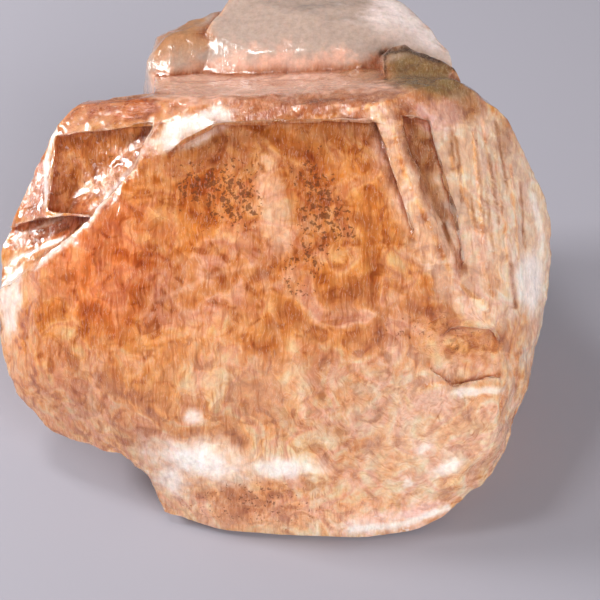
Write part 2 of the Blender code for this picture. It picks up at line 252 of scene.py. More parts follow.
LEFT_RIDGE = ((-6.9, 8.4), (-7.1, 7.1), (-8.0, 5.9), (-8.9, 4.8), (-9.4, 4.1), (-10.7, 2.8), (-12.4, 1.5))
RIGHT_RIDGE = ((3.9, 8.5), (4.3, 6.4), (4.9, 4.3), (6.0, 2.3), (7.4, 0.2), (8.8, -0.6))
BODY = Look(linear("#EEBC84"), 0.75, 0.2, 0.03, 0.0)       # clear orange: what copper in feldspar gives
SIDES = Look(linear("#FCC89C"), 0.75, 0.5, 0.1, 0.0, 0.65)        # rougher breaks scatter the light: paler
BRUISE_AND_HIGHLIGHT = Look(linear("#FFE3D2"), 0.15, 0.6, 0.0, 0.35)        # bruised edges: pale from bruising, with painted highlight where they catch the light
PAINTED_NOOK_SHADE = Look(linear("#A85E30"), 0.8, 0.4, 0.2, 0.0)          # painted shade: the foot of a step is painted dark
KNOB = Look(linear("#CAB2A4"), 0.6, 0.2, 0.0, 0.0, 0.95)         # paler feldspar without copper
ZONES = (
    Zone(Look(linear("#FFE0C6"), 0.7, 0.35, 0.06, 0.0, 0.2),     # painted light: the lower part painted paler peach, as lit from the floor below
         (Patch(-1.0, -7.4, 12.0, 5.4, 0.0, 0.85, 0.75),)),
    Zone(Look(linear("#FFE6D2"), 0.7, 0.45, 0.04, 0.0, 0.3),   # painted light: paler still on the shell-shaped break
         (Patch(6.5, -6.2, 4.5, 4.2, 0.0, 0.9, 0.4),)),
    Zone(Look(linear("#FFDCC8"), 0.4, 0.7, 0.05, 0.0, 0.3),    # the underside, paler and pinker to the right
         (Patch(-1.0, -10.4, 7.0, 1.3, 0.0, 0.7, 0.4),)),
    Zone(Look(linear("#FBDAD6"), 0.3, 0.6, 0.0, 0.2, 0.5),      # painted highlight: the pink rim of the underside
         (Patch(4.6, -10.3, 2.7, 0.6, 8.0, 0.85, 0.4),)),
    Zone(Look(linear("#F0C0AC"), 0.4, 0.4, 0.0, 0.0, 0.85),    # the slope behind the top ridge
         (Patch(-1.0, 10.3, 8.0, 1.9, 0.0, 0.95, 0.3),)),
    Zone(Look(linear("#F0A476"), 0.75, 0.25, 0.03, 0.0),     # redder below the left ridge
         (Patch(-9.3, 2.0, 2.6, 3.4, 30.0, 0.75, 0.5),)),
    Zone(Look(linear("#CC9C68"), 0.8, 0.25, 0.2, 0.0),       # painted shade: olive brown under the lip of the top ridge
         (Patch(-3.4, 6.3, 3.0, 1.9, -4.0, 0.9, 0.6), Patch(1.6, 7.0, 2.4, 0.9, 0.0, 0.5, 0.6))),
    Zone(Look(linear("#E0A66E"), 0.75, 0.25, 1.0, 0.0),     # clouds of brown specks
         (Patch(-3.6, 4.7, 1.9, 1.4, -20.0, 0.9, 0.4), Patch(1.0, 4.2, 1.1, 2.0, 10.0, 0.9, 0.4),
          Patch(0.0, 1.4, 0.8, 1.4, 0.0, 0.9, 0.4), Patch(5.2, -1.2, 1.6, 0.6, 0.0, 0.5, 0.5),
          Patch(-1.8, -9.4, 2.8, 0.9, 0.0, 0.35, 0.5))),
    Zone(Look(linear("#E2BAA8"), 0.6, 0.25, 0.03, 0.0),       # mauve veils under the surface
         (Patch(-3.6, 1.2, 3.6, 1.5, 22.0, 0.8, 0.6), Patch(3.0, -0.6, 3.2, 1.2, -8.0, 0.7, 0.6))),
    Zone(Look(linear("#FFD8BC"), 0.6, 0.2, 0.0, 0.0, 0.5),      # peach streaks and healed cracks
         (Patch(-1.1, 3.9, 0.6, 2.1, 8.0, 0.85, 0.6), Patch(-1.3, 5.2, 0.3, 0.4, 0.0, 0.6, 0.6),
          Patch(-0.9, 2.6, 0.35, 0.6, 10.0, 0.6, 0.6), Patch(-2.4, -3.4, 2.8, 1.5, -15.0, 0.4, 0.6),
          Streak(((-6.4, 0.0), (-4.0, 1.1), (-1.8, 1.7)), 0.1, 0.45),
          Streak(((-1.7, 1.2), (-0.8, -2.2)), 0.12, 0.4),
          Streak(((-8.9, -2.5), (-9.8, -4.5), (-9.0, -6.2)), 0.12, 0.6, 1.2))),
    Zone(Look(linear("#FFEAD8"), 0.8, 0.4, 0.0, 0.0, 0.5),    # the right break's own tan, painted paler for the light shining through it
         (Patch(8.3, 4.2, 3.5, 5.6, 12.0, 1.0, 0.2, 0.4), Patch(12.6, 3.4, 3.4, 6.6, 0.0, 1.0, 0.4, 0.6)),
         Side.ANY),
    Zone(Look(linear("#A07040"), 0.7, 0.5, 0.2, 0.0),        # painted shade: in the groove, and on the shaded sides of splinters
         (Patch(5.4, 7.0, 0.8, 1.4, 19.0, 0.9, 0.3, 0.5),
          Patch(8.0, 9.1, 0.8, 0.8, 0.0, 0.5, 0.5, 0.5), Patch(9.7, 7.6, 0.45, 0.6, 0.0, 0.4, 0.5, 0.5),
          Streak(((5.0, 7.6), (6.6, 3.9)), 0.3, 0.6), Streak(((7.3, 7.6), (7.5, 4.6)), 0.07, 0.6),
          Streak(((8.9, 6.8), (9.3, 3.6)), 0.08, 0.6), Streak(((7.9, 5.0), (8.4, 1.6)), 0.06, 0.6),
          Streak(((4.35, 8.3), (4.8, 6.2)), 0.12, 0.9),
          Streak(((6.6, 3.5), (7.3, 1.5)), 0.1, 0.8), Streak(((9.9, 1.7), (10.1, -0.3)), 0.12, 0.9),
          Streak(((8.2, 7.9), (8.6, 2.6)), 0.1, 0.5), Streak(((9.3, 8.4), (9.8, 5.4)), 0.08, 0.6),
          Streak(((10.5, 5.6), (10.7, 2.4)), 0.07, 0.6), Streak(((7.0, 8.2), (7.1, 6.0)), 0.1, 0.5),
          Streak(((8.9, 2.9), (9.2, 0.6)), 0.07, 0.6), Streak(((8.7, 4.8), (8.9, 3.0)), 0.12, 0.5),
          Streak(((-13.7, 2.5), (-11.0, 3.5)), 0.1, 0.8), Streak(((-12.6, 1.9), (-9.9, 3.7)), 0.08, 0.7),
          Streak(((-11.3, 8.0), (-11.6, 6.4), (-11.5, 4.6)), 0.08, 0.6))),
    Zone(Look(linear("#8E7A54"), 0.5, 0.5, 0.0, 0.0, 0.3),  # the crest behind the right end of the ridge
         (Patch(6.1, 10.8, 2.2, 1.35, -14.0, 1.0, 0.3, 0.4),)),
    Zone(Look(linear("#C08A54"), 0.6, 0.5, 0.0, 0.0, 0.5),      # brown beside it, and its dark upper edge
         (Patch(3.0, 11.0, 1.2, 0.6, 0.0, 0.7, 0.6),)),
    Zone(Look(linear("#3E3020"), 0.5, 0.5, 0.0, 0.0),
         (Streak(((4.1, 12.1), (5.2, 12.25), (6.6, 11.7), (7.7, 11.0)), 0.22, 0.85),
          Streak(((4.1, 11.9), (4.05, 10.6)), 0.08, 0.7))),
    Zone(Look(linear("#F0CCA0"), 0.6, 0.5, 0.2, 0.0, 0.0, 0.7),       # the olive dip below the right ridge
         (Patch(7.5, -1.8, 1.7, 0.9, -6.0, 0.8, 0.4),)),
    Zone(Look(linear("#C89880"), 0.5, 0.5, 0.0, 0.1),        # the top ridge
         (Patch(0.4, 8.9, 5.4, 0.8, 3.0, 0.8, 0.3),)),
    Zone(Look(linear("#F6DCCC"), 0.4, 0.4, 0.0, 0.1, 0.3),       # the bruised bands along the ridges, painted paler as highlights
         (Streak(RIGHT_RIDGE, 0.72, 0.95),
          Patch(8.4, 1.6, 1.2, 1.6, 0.0, 0.8, 0.6))),
    Zone(Look(linear("#E0C0C4"), 0.4, 0.4, 0.0, 0.1, 0.4),      # a lilac bruise where the groove starts
         (Patch(6.5, 8.5, 1.0, 0.7, 0.0, 0.8, 0.4),)),
    Zone(Look(linear("#E0A890"), 0.4, 0.5, 0.0, 0.1),
         (Streak(LEFT_RIDGE, 0.3, 0.5),)),
    Zone(Look(linear("#FBE0C6"), 0.2, 0.4, 0.0, 0.2),        # painted highlights along the edges of splinters and ridges
         (Streak(((4.25, 7.8), (4.75, 5.7), (5.25, 4.6), (5.95, 3.3)), 0.1, 0.8),
          Streak(((-1.5, 8.0), (0.5, 8.2), (4.4, 9.2)), 0.12, 0.7),
          Streak(((5.7, -3.9), (9.4, -3.4)), 0.1, 0.8), Streak(((8.1, 7.8), (8.45, 2.6)), 0.07, 0.8),
          Streak(((7.0, 6.6), (8.2, 3.0)), 0.06, 0.6), Streak(((10.0, 6.4), (10.3, 1.6)), 0.07, 0.6),
          Streak(((8.6, 8.6), (9.0, 5.0)), 0.06, 0.6), Streak(((7.5, 6.2), (8.0, 3.6)), 0.05, 0.6),
          Streak(((9.6, 3.6), (9.7, 0.6)), 0.06, 0.7), Streak(((8.2, 2.2), (8.9, 0.2)), 0.08, 0.6),
          Streak(((9.2, 6.9), (9.6, 3.0)), 0.06, 0.6), Streak(((9.5, -3.3), (9.3, -5.4)), 0.09, 0.7),
          Streak(((6.1, 2.9), (7.0, 1.0), (8.6, -0.4)), 0.1, 0.7))),
    Zone(Look(linear("#D8A07C"), 0.5, 0.6, 0.0, 0.1, 0.0, 1.0),   # layers end in the band above the ledge
         (Patch(-9.0, 8.9, 2.7, 0.75, 2.0, 0.95, 0.25),)),
    Zone(Look(linear("#D0A076"), 0.45, 0.6, 0.2, 0.12),       # the ledge: torn, glittering
         (Patch(-9.7, 6.6, 2.3, 1.9, 0.0, 0.9, 0.3),)),
    Zone(Look(linear("#C8968A"), 0.3, 0.8, 0.3, 0.5),        # and its outer edge, pinker
         (Patch(-12.5, 5.3, 0.9, 1.5, -20.0, 0.9, 0.3), Patch(-12.6, 3.3, 1.6, 0.5, 18.0, 0.8, 0.3))),
    Zone(Look(linear("#FFF9F8"), 0.3, 0.4, 0.0, 0.2, 0.8),      # painted highlights and reflections: white glints, bright lines along ridges and white patches
         (Streak(LEFT_RIDGE, 0.15, 0.8), Streak(((-11.6, 8.2), (-12.1, 6.5), (-12.0, 4.5)), 0.13, 0.8),
          Streak(((-13.5, 3.1), (-11.2, 4.0)), 0.09, 0.8), Streak(((-13.9, 1.9), (-11.3, 2.9)), 0.1, 0.8),
          Patch(-4.6, -7.4, 2.3, 0.9, -6.0, 1.0, 0.7, 0.8), Patch(-6.0, -8.2, 0.9, 0.8, 0.0, 0.9, 0.7, 0.8),
          Patch(-0.8, -7.7, 1.6, 0.5, 0.0, 0.95, 0.7, 0.8), Patch(-4.9, -5.3, 0.4, 0.35, 0.0, 0.8, 0.6),
          Patch(6.9, -7.7, 0.65, 0.3, 25.0, 0.8, 0.6), Patch(5.7, -6.8, 0.45, 0.2, 25.0, 0.7, 0.6),
          Patch(5.0, -8.4, 0.25, 0.3, 0.0, 0.7, 0.4), Patch(8.2, -4.2, 1.1, 0.22, 2.0, 0.8, 0.4),
          Patch(-4.9, 7.9, 1.9, 0.75, 24.0, 0.9, 0.25, 0.5), Patch(-13.9, 0.2, 0.6, 2.0, -6.0, 0.8, 0.4),
          Patch(11.0, 0.9, 0.85, 1.4, -6.0, 0.9, 0.45, 0.3),
          Streak(((11.5, 1.5), (11.7, 3.0), (11.2, 5.0)), 0.2, 0.6, 0.4),
          Streak(((2.4, -10.7), (4.8, -10.5), (7.0, -9.8)), 0.16, 0.8))),
    Zone(Look(linear("#C28E62"), 0.5, 0.3, 0.0, 0.0, 0.85),      # the lobe at the left of the back lump
         (Patch(-6.1, 12.8, 1.5, 2.0, 0.0, 1.0, 0.3),), Side.KNOB),
    Zone(Look(linear("#FFEAE6"), 0.3, 0.2, 0.0, 0.0, 0.95),      # and the pale slope at its right
         (Patch(5.8, 14.2, 2.4, 3.0, 0.0, 0.95, 0.5),), Side.KNOB),
)


@dataclass(frozen=True)
class Feldspar:
    """Oligoclase feldspar as it breaks under a hammer: glassy, orange from copper, and see-through."""

    # A fresh break shines like glass over a body that light enters and leaves a little way off, so thin
    # places glow peach and thick ones turn a deeper orange.
    name: str = "orange_feldspar_broken"
    ior: float = 1.54
    roughness: float = 0.03
    crumb_roughness: float = 0.2                 # how much duller the crumbled spots are
    clearest: float = 0.42
    absorption_hex: str = "#F4B27C"
    absorption_density: float = 90.0
    glow: float = 0.38
    glow_radius: tuple[float, float, float] = (1.0, 0.55, 0.35)
    glow_depth: float = 2.0 * MM
    gloss: float = 0.6
    gloss_roughness: float = 0.05
    relief: float = 0.12 * MM
    # Pattern scales are repeats to a millimetre.  The real crumb, hairs, layers and flakes are 0.02 to 0.1 mm
    # wide, too fine to show, so they are drawn as coarse as they need to be: 0.28, 0.13, 0.14 and 0.12 mm.
    drift: float = 1.1
    crumb: float = 3.6
    hairs: tuple[float, float, float] = (7.5, 0.75, 3.0)
    layered: tuple[float, float, float] = (0.7, 7.0, 3.0)
    arcs: tuple[float, float, float] = (5.5, 9.0, 1.0)
    flakes: float = 8.0
    speck_cells: float = 3.4
    cloud_scales: tuple[float, float] = (0.42, 1.25)         # clouds 2.4 and 0.8 mm wide
    plane_sizes: tuple[float, float] = (1.6, 0.45)           # cracked planes, in millimetres
    hair_hex: str = "#FFE6CE"
    speck_hex: str = "#6A3A1C"
    flake_hex: str = "#FFF6EE"

    def build(self) -> bpy.types.Material:
        """Build the material.

        Returns:
            The material.
        """
        material = bpy.data.materials.new(self.name)
        material.use_nodes = True
        tree = material.node_tree
        tree.nodes.clear()
        place = add_node(tree, "ShaderNodeTexCoord")
        spot = add_node(tree, "ShaderNodeMapping",
                        {"Location": -(Matrix.Rotation(-TIP, 3, "X") @ BREAK_MIDDLE) / MM,
                         "Rotation": (-TIP, 0.0, 0.0), "Scale": (1 / MM, 1 / MM, 1 / MM)},
                        {"Vector": place.outputs["Object"]}).outputs["Vector"]
        tint, kind, marks = (add_node(tree, "ShaderNodeAttribute", {"attribute_name": name})
                             for name in ("tint", "kind", "marks"))
        kinds = add_node(tree, "ShaderNodeSeparateColor", None, {"Color": kind.outputs["Color"]})
        amounts = add_node(tree, "ShaderNodeSeparateColor", None, {"Color": marks.outputs["Color"]})
        clarity, grain, shell = (kinds.outputs[index] for index in range(3))
        specks, glitter, haze = (amounts.outputs[index] for index in range(3))
        layers = marks.outputs["Alpha"]
        lines = self.lines(tree, spot, shell, layers)
        crumb = add_node(tree, "ShaderNodeTexNoise", {"Scale": self.crumb, "Detail": 4.0, "Roughness": 0.72},
                         {"Vector": spot}).outputs["Fac"]
        clouded = self.clouds(tree, spot, tint.outputs["Color"])
        planed, wide = self.planes(tree, spot, clouded, self.plane_sizes[0], 0.6)
        finer, narrow = self.planes(tree, spot, planed, self.plane_sizes[1], 0.3)
        hazed = add_node(tree, "ShaderNodeMix", {"data_type": "RGBA"},
                         {0: haze, 6: finer, 7: tint.outputs["Color"]}).outputs[2]
        toned = self.tone(tree, hazed, lines, crumb, haze, layers)
        colour = self.glitter(tree, spot, self.specks(tree, spot, toned, specks), glitter)
        height = add_node(tree, "ShaderNodeMath", {"operation": "MULTIPLY_ADD", 1: 0.8}, {0: crumb, 2: lines})
        strength = add_node(tree, "ShaderNodeMath", {"operation": "MULTIPLY_ADD", 1: 0.8, 2: 0.0}, {0: grain})
        bump = add_node(tree, "ShaderNodeBump", {"Distance": self.relief},
                        {"Height": height.outputs[0], "Strength": strength.outputs[0]})
        clear = add_node(tree, "ShaderNodeMath", {"operation": "MULTIPLY", 1: self.clearest}, {0: clarity})
        rough = add_node(tree, "ShaderNodeMath",
                         {"operation": "MULTIPLY_ADD", 1: self.crumb_roughness, 2: self.roughness},
                         {0: crumb})
        shader = add_node(tree, "ShaderNodeBsdfPrincipled",
                          {"IOR": self.ior, "Subsurface Weight": self.glow,
                           "Subsurface Radius": self.glow_radius, "Subsurface Scale": self.glow_depth,
                           "Coat Weight": self.gloss, "Coat Roughness": self.gloss_roughness,
                           "Coat IOR": self.ior},
                          {"Base Color": colour, "Transmission Weight": clear.outputs[0],
                           "Normal": self.tilted(tree, bump.outputs["Normal"], wide, narrow, grain),
                           "Roughness": rough.outputs[0]})
        volume = add_node(tree, "ShaderNodeVolumeAbsorption",
                          {"Color": linear(self.absorption_hex), "Density": self.absorption_density})
        add_node(tree, "ShaderNodeOutputMaterial", None,
                 {"Surface": shader.outputs["BSDF"], "Volume": volume.outputs["Volume"]})
        return material

    def tilted(self, tree: bpy.types.NodeTree, normal: bpy.types.NodeSocket, wide: bpy.types.NodeSocket,
               narrow: bpy.types.NodeSocket, grain: bpy.types.NodeSocket) -> bpy.types.NodeSocket:
        """Tilt the surface of each plane a little its own way, so that each one glints on its own.

        Args:
            tree: The material's tree.
            normal: The normal before.
            wide: A random colour for each wide plane.
            narrow: A random colour for each narrow plane.
            grain: How torn the surface is.

        Returns:
            The tilted normal.
        """
        both = add_node(tree, "ShaderNodeVectorMath", {"operation": "ADD"}, {0: wide, 1: narrow})
        centred = add_node(tree, "ShaderNodeVectorMath", {"operation": "SUBTRACT", 1: (1.0, 1.0, 1.0)},
                           {0: both.outputs[0]})
        amount = add_node(tree, "ShaderNodeMath",
                          {"operation": "MULTIPLY_ADD", "use_clamp": True, 1: 0.35, 2: -0.055}, {0: grain})
        scaled = add_node(tree, "ShaderNodeVectorMath", {"operation": "SCALE"},
                          {0: centred.outputs[0], "Scale": amount.outputs[0]})
        moved = add_node(tree, "ShaderNodeVectorMath", {"operation": "ADD"},
                         {0: normal, 1: scaled.outputs[0]})
        levelled = add_node(tree, "ShaderNodeVectorMath", {"operation": "NORMALIZE"}, {0: moved.outputs[0]})
        return levelled.outputs[0]

    def lines(self, tree: bpy.types.NodeTree, spot: bpy.types.NodeSocket, shell: bpy.types.NodeSocket,
              layers: bpy.types.NodeSocket) -> bpy.types.NodeSocket:
        """Add the fine lines: upright on the broad break, level on layered edges, in arcs on the shell break.

        Args:
            tree: The material's tree.
            spot: The place in the broad break's frame.
            shell: How far the place lies on the shell-shaped break.
            layers: How far thin level layers end there.

        Returns:
            The lines' value, about 0.5 in the middle.
        """
        drift = add_node(tree, "ShaderNodeTexNoise", {"Scale": self.drift, "Detail": 1.0}, {"Vector": spot})
        strayed = add_node(tree, "ShaderNodeVectorMath", {"operation": "MULTIPLY_ADD", 1: (0.4, 0.4, 0.4)},
                           {0: drift.outputs["Color"], 2: spot}).outputs[0]
        upright = add_node(tree, "ShaderNodeVectorMath", {"operation": "MULTIPLY", 1: self.hairs},
                           {0: strayed})
        level = add_node(tree, "ShaderNodeVectorMath", {"operation": "MULTIPLY", 1: self.layered},
                         {0: strayed})
        lost = add_node(tree, "ShaderNodeVectorMath", {"operation": "MULTIPLY_ADD", 1: (1.4, 1.4, 1.4)},
                        {0: drift.outputs["Color"], 2: spot}).outputs[0]
        away = add_node(tree, "ShaderNodeVectorMath", {"operation": "SUBTRACT", 1: (*SHELL_MIDDLE, 0.0)},
                        {0: lost})
        axes = add_node(tree, "ShaderNodeSeparateXYZ", None, {"Vector": away.outputs[0]})
        flat = add_node(tree, "ShaderNodeCombineXYZ", None, {"X": axes.outputs["X"], "Y": axes.outputs["Y"]})
        radius = add_node(tree, "ShaderNodeVectorMath", {"operation": "LENGTH"}, {0: flat.outputs[0]})
        angle = add_node(tree, "ShaderNodeMath", {"operation": "ARCTAN2"},
                         {0: axes.outputs["Y"], 1: axes.outputs["X"]})
        ring = add_node(tree, "ShaderNodeCombineXYZ", None,
                        {"X": radius.outputs["Value"], "Y": angle.outputs[0]})
        arcs = add_node(tree, "ShaderNodeVectorMath", {"operation": "MULTIPLY", 1: self.arcs},
                        {0: ring.outputs[0]})
        straight = add_node(tree, "ShaderNodeMix", {"data_type": "VECTOR"},
                            {0: layers, 4: upright.outputs[0], 5: level.outputs[0]})
        drawn = [add_node(tree, "ShaderNodeTexNoise", {"Scale": 1.0, "Detail": 2.0, "Roughness": 0.55},
                          {"Vector": way}).outputs["Fac"] for way in (straight.outputs[1], arcs.outputs[0])]
        return add_node(tree, "ShaderNodeMix", None, {0: shell, 2: drawn[0], 3: drawn[1]}).outputs[0]

    def tone(self, tree: bpy.types.NodeTree, colour: bpy.types.NodeSocket, lines: bpy.types.NodeSocket,
             crumb: bpy.types.NodeSocket, haze: bpy.types.NodeSocket,
             layers: bpy.types.NodeSocket) -> bpy.types.NodeSocket:
        """Darken and lighten a colour along the lines and over the crumb.

        Args:
            tree: The material's tree.
            colour: The even colour.
            lines: The lines' value.
            crumb: The crumb's value.
            haze: How far the place is free of lines.
            layers: How far thin layers end there.

        Returns:
            The toned colour.
        """
        ramp = add_node(tree, "ShaderNodeValToRGB", None, {"Fac": lines})
        ramp.color_ramp.elements[0].position, ramp.color_ramp.elements[1].position = 0.33, 0.56
        ramp.color_ramp.elements[0].color = linear("#A8744A")
        ramp.color_ramp.elements[1].color = linear("#FFFFFF")
        ramp.color_ramp.elements.new(0.43).color = linear("#ECD6BC")
        kept = add_node(tree, "ShaderNodeMapRange", {1: 0.4, 2: 0.6, 3: 0.2, 4: 0.6}, {0: crumb})
        thick = add_node(tree, "ShaderNodeMath", {"operation": "POWER", 1: 1.5}, {0: haze})
        thin = add_node(tree, "ShaderNodeMath", {"operation": "SUBTRACT", 0: 1.0}, {1: thick.outputs[0]})
        strong = add_node(tree, "ShaderNodeMath", {"operation": "MAXIMUM"}, {0: kept.outputs[0], 1: layers})
        left = add_node(tree, "ShaderNodeMath", {"operation": "MULTIPLY"},
                        {0: strong.outputs[0], 1: thin.outputs[0]})
        hairs = add_node(tree, "ShaderNodeMix", {"data_type": "RGBA", "blend_type": "MULTIPLY"},
                         {0: left.outputs[0], 6: colour, 7: ramp.outputs["Color"]})
        coarse = add_node(tree, "ShaderNodeMapRange", {1: 0.35, 2: 0.6, 3: 0.84, 4: 1.06}, {0: crumb})
        crumbed = add_node(tree, "ShaderNodeVectorMath", {"operation": "SCALE"},
                           {0: hairs.outputs[2], "Scale": coarse.outputs[0]})
        off = add_node(tree, "ShaderNodeMath", {"operation": "SUBTRACT", 1: 0.52}, {0: lines})
        far = add_node(tree, "ShaderNodeMath", {"operation": "ABSOLUTE"}, {0: off.outputs[0]})
        pale = add_node(tree, "ShaderNodeMapRange", {1: 0.0, 2: 0.02, 3: 0.26, 4: 0.0}, {0: far.outputs[0]})
        share = add_node(tree, "ShaderNodeMath", {"operation": "MULTIPLY"},
                         {0: pale.outputs[0], 1: thin.outputs[0]})
        mixed = add_node(tree, "ShaderNodeMix", {"data_type": "RGBA", 7: linear(self.hair_hex)},
                         {0: share.outputs[0], 6: crumbed.outputs[0]})
        return mixed.outputs[2]

    def clouds(self, tree: bpy.types.NodeTree, spot: bpy.types.NodeSocket,
               colour: bpy.types.NodeSocket) -> bpy.types.NodeSocket:
        """Let brown, golden and pale clouds shine through from inside.

        Args:
            tree: The material's tree.
            spot: The place in the broad break's frame.
            colour: The even colour.

        Returns:
            The clouded colour.
        """
        wide = self.cloud(tree, spot, colour, self.cloud_scales[0],
                          ((0.32, "#C89C6C"), (0.44, "#ECCB98"), (0.5, "#FBF0E4"), (0.57, "#E4C6BE"),
                           (0.63, "#F6E8D4"), (0.72, "#FFFFFF")))
        return self.cloud(tree, spot, wide, self.cloud_scales[1],
                          ((0.34, "#C8A074"), (0.45, "#F2DEBE"), (0.52, "#F4E8E4"), (0.66, "#FFFFFF")))

    def cloud(self, tree: bpy.types.NodeTree, spot: bpy.types.NodeSocket, colour: bpy.types.NodeSocket,
              scale: float, stops: tuple[tuple[float, str], ...]) -> bpy.types.NodeSocket:
        """Lay one layer of clouds over a colour.

        Args:
            tree: The material's tree.
            spot: The place in the broad break's frame.
            colour: The colour without clouds.
            scale: How many clouds come on a millimetre.
            stops: Where in the noise each shade lies.

        Returns:
            The clouded colour.
        """
        billow = add_node(tree, "ShaderNodeTexNoise",
                          {"Scale": scale, "Detail": 2.0, "Roughness": 0.5, "Distortion": 0.8},
                          {"Vector": spot})
        ramp = add_node(tree, "ShaderNodeValToRGB", None, {"Fac": billow.outputs["Fac"]})
        ramp.color_ramp.elements[0].position, ramp.color_ramp.elements[1].position = stops[0][0], stops[-1][0]
        ramp.color_ramp.elements[0].color = linear(stops[0][1])
        ramp.color_ramp.elements[1].color = linear(stops[-1][1])
        for position, shade in stops[1:-1]:
            ramp.color_ramp.elements.new(position).color = linear(shade)
        lifted = add_node(tree, "ShaderNodeVectorMath", {"operation": "SCALE", "Scale": 1.15},
                          {0: ramp.outputs["Color"]})
        mixed = add_node(tree, "ShaderNodeMix",
                         {"data_type": "RGBA", "blend_type": "MULTIPLY", "clamp_result": True, 0: 1.0},
                         {6: colour, 7: lifted.outputs[0]})
        return mixed.outputs[2]

    def planes(self, tree: bpy.types.NodeTree, spot: bpy.types.NodeSocket, colour: bpy.types.NodeSocket,
               size: float, contrast: float) -> tuple[bpy.types.NodeSocket, bpy.types.NodeSocket]:
        """Shade the slanting planes along which the crystal is cracked inside.

        Args:
            tree: The material's tree.
            spot: The place in the broad break's frame.
            colour: The colour without planes.
            size: Width of a plane in millimetres.
            contrast: How much the planes differ.

        Returns:
            The colour with planes, and a random colour for each plane.
        """
        drift = add_node(tree, "ShaderNodeTexNoise", {"Scale": 0.8 / size, "Detail": 2.0}, {"Vector": spot})
        strayed = add_node(tree, "ShaderNodeVectorMath", {"operation": "MULTIPLY_ADD", 1: (1.6 * size,) * 3},
                           {0: drift.outputs["Color"], 2: spot})
        leaning = add_node(tree, "ShaderNodeMapping",
                           {"Rotation": (0.2, 0.5, 0.35), "Scale": (1.0, 0.45, 0.8)},
                           {"Vector": strayed.outputs[0]})
        cells = add_node(tree, "ShaderNodeTexVoronoi", {"Scale": 1.0 / size}, {"Vector": leaning.outputs[0]})
        random = add_node(tree, "ShaderNodeSeparateColor", None, {"Color": cells.outputs["Color"]})
        ramp = add_node(tree, "ShaderNodeValToRGB", None, {"Fac": random.outputs[0]})
        ramp.color_ramp.elements[0].color = linear("#C8A078")
        ramp.color_ramp.elements[1].color = linear("#FFFFFF")
        ramp.color_ramp.elements.new(0.5).color = linear("#F8F0E4")
        shaded = add_node(tree, "ShaderNodeMix", {"data_type": "RGBA", "blend_type": "MULTIPLY", 0: contrast},
                          {6: colour, 7: ramp.outputs["Color"]})
        return shaded.outputs[2], cells.outputs["Color"]

    def specks(self, tree: bpy.types.NodeTree, spot: bpy.types.NodeSocket, colour: bpy.types.NodeSocket,
               amount: bpy.types.NodeSocket) -> bpy.types.NodeSocket:
        """Darken small specks.

        Args:
            tree: The material's tree.
            spot: The place in the broad break's frame.
            colour: The colour without specks.
            amount: How many specks there are.

        Returns:
            The colour with specks.
        """
        drift = add_node(tree, "ShaderNodeTexNoise", {"Scale": 5.0, "Detail": 2.0}, {"Vector": spot})
        strayed = add_node(tree, "ShaderNodeVectorMath", {"operation": "MULTIPLY_ADD", 1: (0.6, 0.6, 0.6)},
                           {0: drift.outputs["Color"], 2: spot})
        cells = add_node(tree, "ShaderNodeTexVoronoi", {"Scale": self.speck_cells},
                         {"Vector": strayed.outputs[0]})
        over = add_node(tree, "ShaderNodeMath", {"operation": "MULTIPLY_ADD", 1: -0.4},
                        {0: amount, 2: cells.outputs["Distance"]})
        edge = add_node(tree, "ShaderNodeMapRange",
                        {"interpolation_type": "SMOOTHSTEP", 1: 0.0, 2: 0.2, 3: 1.0, 4: 0.0},
                        {0: over.outputs[0]})
        share = add_node(tree, "ShaderNodeMath", {"operation": "MULTIPLY", 1: 0.75}, {0: edge.outputs[0]})
        there = add_node(tree, "ShaderNodeMath", {"operation": "MULTIPLY", "use_clamp": True, 1: 6.0},
                         {0: amount})
        both = add_node(tree, "ShaderNodeMath", {"operation": "MULTIPLY"},
                        {0: share.outputs[0], 1: there.outputs[0]})
        mixed = add_node(tree, "ShaderNodeMix", {"data_type": "RGBA", 7: linear(self.speck_hex)},
                         {0: both.outputs[0], 6: colour})
        return mixed.outputs[2]

    def glitter(self, tree: bpy.types.NodeTree, spot: bpy.types.NodeSocket, colour: bpy.types.NodeSocket,
                amount: bpy.types.NodeSocket) -> bpy.types.NodeSocket:
        """Whiten small flakes that lie just right for the light.

        Args:
            tree: The material's tree.
            spot: The place in the broad break's frame.
            colour: The colour without flakes.
            amount: How many flakes shine.

        Returns:
            The colour with flakes.
        """
        drift = add_node(tree, "ShaderNodeTexNoise", {"Scale": 3.0, "Detail": 1.0}, {"Vector": spot})
        strayed = add_node(tree, "ShaderNodeVectorMath", {"operation": "MULTIPLY_ADD", 1: (0.3, 0.3, 0.3)},
                           {0: drift.outputs["Color"], 2: spot})
        cells = add_node(tree, "ShaderNodeTexVoronoi", {"Scale": self.flakes}, {"Vector": strayed.outputs[0]})
        random = add_node(tree, "ShaderNodeSeparateColor", None, {"Color": cells.outputs["Color"]})
        chosen = add_node(tree, "ShaderNodeMath", {"operation": "MULTIPLY_ADD", 1: 0.6},
                          {0: amount, 2: random.outputs[0]})
        shine = add_node(tree, "ShaderNodeMapRange", {1: 1.0, 2: 1.2, 3: 0.0, 4: 0.7}, {0: chosen.outputs[0]})
        mixed = add_node(tree, "ShaderNodeMix", {"data_type": "RGBA", 7: linear(self.flake_hex)},
                         {0: shine.outputs[0], 6: colour})
        return mixed.outputs[2]


